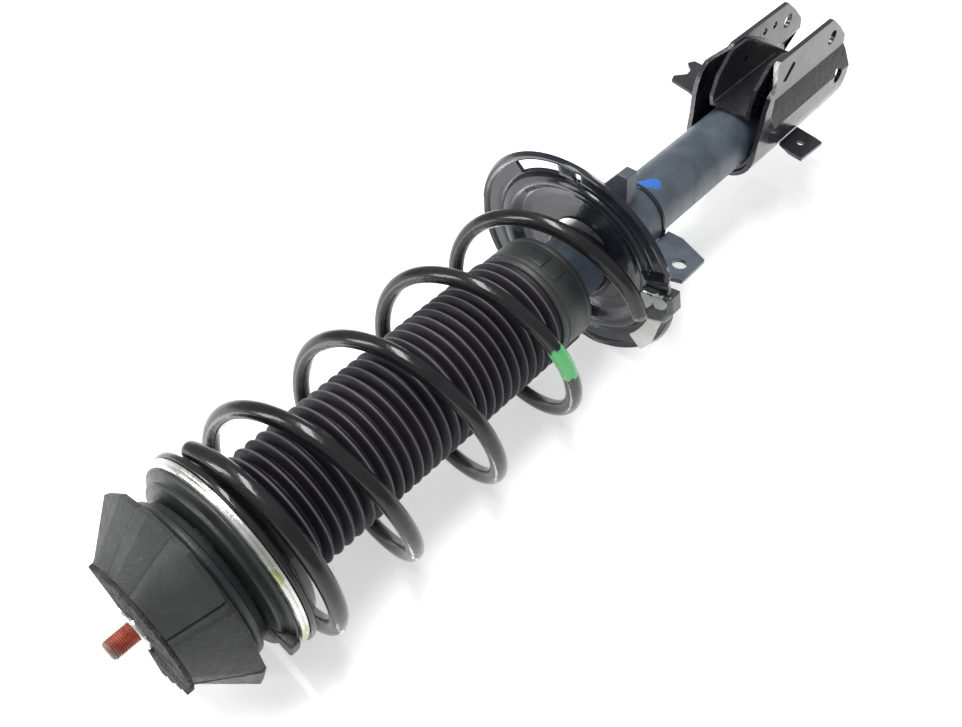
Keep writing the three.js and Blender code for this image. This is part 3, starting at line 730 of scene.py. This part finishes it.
def coil_spring():
    swing = SPRING_END_DEG - SPRING_START_DEG
    path = [wire_centre(SPRING_START_DEG + swing * i / COIL_STEPS) for i in range(COIL_STEPS + 1)]
    bm = swept(path, WIRE_R * MM, 24)
    bmesh.ops.recalc_face_normals(bm, faces=bm.faces[:])
    bevel_sharp(bm, 1.0, 60, 3)
    return bm


spring = smooth_and_place(coil_spring(), "coil_spring_wire", None, SPRING_PAINT, ["coil_spring"], 60)
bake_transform(spring)

# ---- tube ----
smooth_and_place(
    turned([(300, 21), (300, 23.5), (654.2, 23.5), (655, 22.8), (655, 21)], 128, 0), "damper_tube_skin",
    "strut_tube", TUBE_PAINT, ["outer_tube"], 40,
)

# ---- lower spring seat ----
SEAT_PRESSING = (
    (22, 9.5), (34, 9.5), (44, 8.6), (52, 6.5), (56, 3.0), (58.6, 0.4), (61.2, 0.3), (63.2, 3.6), (65.2, 4.4),
    (67.0, 1.3), (77.2, 0.9), (78.4, -0.6), (79.3, -1.0), (80, -0.7),
)


def seat_height(radius):
    """Height of the seat's sheet at a radius, in mm from its rim plane, more towards the knuckle."""
    for (r0, h0), (r1, h1) in zip(SEAT_PRESSING, SEAT_PRESSING[1:]):
        if radius <= r1:
            t = max(0.0, (radius - r0) / (r1 - r0))
            return h0 + (h1 - h0) * t * t * (3 - 2 * t)
    return 0.0


SEAT_RINGS = (
    24.2, 27, 32, 37, 39, 41, 43, 45, 47, 49, 51, 53, 55, 57, 58.5, 60, 61.5, 63, 64.5, 66, 68, 70, 72, 73.5, 75,
    76.2, 77.4, 78.4, 79.3, 80,
)
SEAT_STEPS = 180
SLOT_R, SLOT_DEG = (67.2, 76.2), (50, 80)
SEAT_HOLES = (((-2.5, 71.5), 3.6), ((46, -46), 5))
FLAT_DEG, FLAT_HALF_DEG, FLAT_INNER_R, FLAT_HEIGHT = 172, 12, 58, -1.5


def lower_seat():
    """The dish as one sheet: rings pressed to height, with a slot, two holes and a flat beside the stop."""
    bm = bmesh.new()
    line = [bm.verts.new((0, r * MM, 0)) for r in SEAT_RINGS]
    for first, second in zip(line, line[1:]):
        bm.edges.new((first, second))
    bmesh.ops.spin(
        bm, geom=bm.verts[:] + bm.edges[:], cent=(0, 0, 0), axis=(1, 0, 0), angle=2 * math.pi,
        steps=SEAT_STEPS, use_merge=True,
    )
    bmesh.ops.remove_doubles(bm, verts=bm.verts[:], dist=DOUBLED)

    def polar(co):
        return math.hypot(co.y, co.z) / MM, math.degrees(math.atan2(co.z, co.y)) % 360

    def cut_away(face):
        r, a = polar(face.calc_center_median())
        y, z = r * math.cos(math.radians(a)), r * math.sin(math.radians(a))
        in_slot = SLOT_R[0] < r < SLOT_R[1] and SLOT_DEG[0] < a < SLOT_DEG[1]
        return in_slot or any(math.hypot(y - hole[0], z - hole[1]) < size for hole, size in SEAT_HOLES)

    bmesh.ops.delete(bm, geom=[face for face in bm.faces if cut_away(face)], context="FACES")
    for v in bm.verts:
        r, a = polar(v.co)
        height = seat_height(r)
        if abs(a - FLAT_DEG) < FLAT_HALF_DEG and r > FLAT_INNER_R:
            flat = max(0.0, 1 - ((a - FLAT_DEG) / FLAT_HALF_DEG) ** 4)
            height += (FLAT_HEIGHT - height) * min(1.0, flat * 1.4) * min(1.0, (r - FLAT_INNER_R) / 4)
        v.co.x = height * MM
    bmesh.ops.recalc_face_normals(bm, faces=bm.faces[:])
    lean = Matrix.Rotation(-math.atan(SEAT_LEAN), 4, "Y")
    bmesh.ops.transform(bm, matrix=Matrix.Translation(at(SEAT_X, *SEAT_CENTRE)) @ lean, verts=bm.verts[:])
    return bm


def solid_sheet(bm, name, body, material, thickness, stands_for):
    """A sheet given its thickness and eased edges."""
    if sum(f.normal.x * f.calc_area() for f in bm.faces) > 0:
        bmesh.ops.reverse_faces(bm, faces=bm.faces[:])
    bmesh.ops.solidify(bm, geom=bm.faces[:], thickness=-thickness * MM)
    bmesh.ops.remove_doubles(bm, verts=bm.verts[:], dist=DOUBLED)
    bmesh.ops.recalc_face_normals(bm, faces=bm.faces[:])
    bevel_sharp(bm, 0.5, 50)
    return smooth_and_place(bm, name, body, material, stands_for, 50, fix=False)


seat = solid_sheet(
    lower_seat(), "lower_spring_seat_dish", "strut_tube", SEAT_PAINT, SEAT_SHEET, ["lower_spring_seat"],
)
floor_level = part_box("lower_spring_seat")[0].z
for v in seat.data.vertices:
    v.co.z = max(v.co.z, floor_level)
smooth_and_place(
    turned([(383, 23.8), (383, 28.5), (388, 26.9), (422, 26.7), (422, 23.8)], 96, 0.4), "seat_hub_ring",
    "strut_tube", SEAT_PAINT,
)


STOP_BACK, STOP_CHAMFER, STOP_FRONT = 386.0, 376.0, 374.0
STOP_OUTLINE = ((-57, 17), (-80, 21), (-83, 8), (-78, -3), (-62, -9))
STOP_FACE = ((-58.5, 15.5), (-77.5, 19), (-80, 8), (-76, -1), (-62, -6))


def pressed_stop():
    """The raised box in the seat that the wire's end butts on."""
    bm = bmesh.new()
    for station, ring in ((STOP_BACK, STOP_OUTLINE), (STOP_CHAMFER, STOP_OUTLINE), (STOP_FRONT, STOP_FACE)):
        for y, z in ring:
            bm.verts.new(at(station, y, z))
    bmesh.ops.convex_hull(bm, input=bm.verts[:])
    bmesh.ops.dissolve_limit(bm, angle_limit=math.radians(2), verts=bm.verts[:], edges=bm.edges[:])
    bevel_sharp(bm, 1.0, 20, 3)
    return bm


smooth_and_place(
    pressed_stop(), "seat_pressed_stop", "strut_tube", STOP_PAINT, ["lower_seat_pad"], 40, weighted=True,
)


# A blank paper label on the seat's rim beside the stop.
smooth_and_place(
    curved_block(384.6, 1.2, 63, 76.0, 184, 219, 18, 0.15), "blank_label", "strut_tube", LABEL_WHITE,
)

# ---- collar, brackets ----
smooth_and_place(
    turned([(448, 26.7), (448, 27.9), (451.4, 27.9), (452.3, 27.2), (452.3, 23.8), (451.8, 23.8)], 96, 0.3),
    "seat_collar_lip", "strut_tube", SEAT_PAINT,
)
for node, name, material, edge in (
    ("seat_collar", "seat_collar_and_tab", TUBE_PAINT, 0.7),
    ("link_bracket", "link_bracket_plate", TUBE_PAINT, 0.6),
    ("knuckle_bracket", "knuckle_bracket_plate", BRACKET_PAINT, 0.9),
    ("bracket_stiffener", "bracket_inner_plate", BRACKET_PAINT, 0.7),
    ("tube_liner", "bracket_tube_liner", BRACKET_PAINT, 0.4),
    ("hose_bracket", "hose_fork_bracket", BRACKET_PAINT, 0.5),
    ("wire_bracket", "wire_bracket_plate", BRACKET_PAINT, 0.5),
):
    smooth_and_place(from_cad(node, edge), name, "strut_tube", material, [node], 35, weighted=True)


CREASE_IN_Y, CREASE_UP, CREASE_R = 3.1, 3.7, 0.75
CREASE_FROM, CREASE_LENGTH, CREASE_STEPS = 3, 92, 24


def crease_line(side):
    """The bent corner where the inner plate's wall meets its floor, as a thin bar in a lighter colour: a painted
    highlight along the bend.
    """
    low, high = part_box("bracket_stiffener")
    y = (high.y - CREASE_IN_Y * MM) if side > 0 else (low.y + CREASE_IN_Y * MM)
    z = low.z + CREASE_UP * MM
    path = [
        Vector((low.x + (CREASE_FROM + CREASE_LENGTH * i / CREASE_STEPS) * MM, y, z))
        for i in range(CREASE_STEPS + 1)
    ]
    return swept(path, CREASE_R * MM, 10)


for side, label in ((1, "left"), (-1, "right")):
    smooth_and_place(crease_line(side), "inner_plate_bend_" + label, "strut_tube", BEND_HIGHLIGHT, (), 60)
smooth_and_place(
    curved_block(63.6, 6.6, 44, 64.0, 188, 201, 8, 1.2), "bearing_housing_clip", "upper_seat", COVER_PLASTIC,
)

# ---- CAD nodes that keep their shape ----
for node, material in (
    ("mount_sleeve", STEEL), ("mount_plate", BLACK_INSIDE), ("bearing_upper_race", STEEL),
    ("bearing_lower_race", STEEL), ("bump_stop", BLACK_RUBBER), ("bump_stop_cup", STEEL), ("rebound_stop", STEEL),
    ("piston", STEEL), ("piston_band", BLACK_INSIDE), ("piston_nut", STEEL), ("tube_top_cap", STEEL),
    ("rod_seal", BLACK_INSIDE), ("rod_guide", STEEL),
    ("inner_cylinder", STEEL), ("base_valve", STEEL), ("tube_end_cap", STEEL),
):
    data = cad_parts[node].data
    data.materials.clear()
    data.materials.append(material)

# ---------------------------------------------------------------- floor, light and camera

FLOOR_HALF = 4.0
FLOOR_GLOW = 0.52
SKY_STRENGTH = 0.4
CAMERA_PLACE = Vector((-0.4025, -0.2838, 0.5334))
CAMERA_RIGHT = Vector((0.6576, -0.7536, 0.0))
CAMERA_UP = Vector((0.563, 0.4919, 0.664))
CAMERA_LENS = 37.065
CAMERA_SHIFT = (-0.0005, 0.0084)


def add_floor():
    bm = bmesh.new()
    bmesh.ops.create_grid(bm, x_segments=1, y_segments=1, size=FLOOR_HALF)
    mesh = bpy.data.meshes.new("studio_floor")
    bm.to_mesh(mesh)
    bm.free()
    floor = bpy.data.objects.new("studio_floor", mesh)
    bpy.context.scene.collection.objects.link(floor)
    material = bpy.data.materials.new("floor_white_gloss")
    material.use_nodes = True
    shader = material.node_tree.nodes["Principled BSDF"]
    shader.inputs["Base Color"].default_value = (0.96, 0.96, 0.965, 1)
    shader.inputs["Roughness"].default_value = 0.1
    shader.inputs["Metallic"].default_value = 0.15
    shader.inputs["Emission Color"].default_value = (1, 1, 1, 1)
    shader.inputs["Emission Strength"].default_value = FLOOR_GLOW
    mesh.materials.append(material)


def add_light(name, place, target, size, energy):
    data = bpy.data.lights.new(name, "AREA")
    data.shape = "RECTANGLE"
    data.size, data.size_y = size
    data.energy = energy
    lamp = bpy.data.objects.new(name, data)
    bpy.context.scene.collection.objects.link(lamp)
    lamp.location = place
    lamp.rotation_mode = "QUATERNION"
    lamp.rotation_quaternion = (Vector(target) - Vector(place)).to_track_quat("-Z", "Y")


def add_world():
    world = bpy.data.worlds.new("studio")
    bpy.context.scene.world = world
    world.use_nodes = True
    background = world.node_tree.nodes["Background"]
    background.inputs["Color"].default_value = (1, 1, 1, 1)
    background.inputs["Strength"].default_value = SKY_STRENGTH


def add_camera():
    data = bpy.data.cameras.new("camera")
    data.sensor_width = 36
    data.lens = CAMERA_LENS
    data.shift_x, data.shift_y = CAMERA_SHIFT
    data.clip_start = 0.01
    camera = bpy.data.objects.new("camera", data)
    bpy.context.scene.collection.objects.link(camera)
    right = CAMERA_RIGHT.normalized()
    back = right.cross(CAMERA_UP).normalized()
    up = back.cross(right).normalized()
    matrix = Matrix((right, up, back)).transposed().to_4x4()
    matrix.translation = CAMERA_PLACE
    camera.matrix_world = matrix
    bpy.context.scene.camera = camera


add_floor()
add_world()
add_light("overhead_softbox", (-0.1, 0.25, 1.5), (0, 0, 0), (1.5, 0.3), 22)
add_light("side_softbox", (-1.1, 0.7, 0.7), (0, 0, 0.07), (0.25, 0.9), 8)
add_camera()
bpy.context.scene.view_settings.view_transform = "Standard"
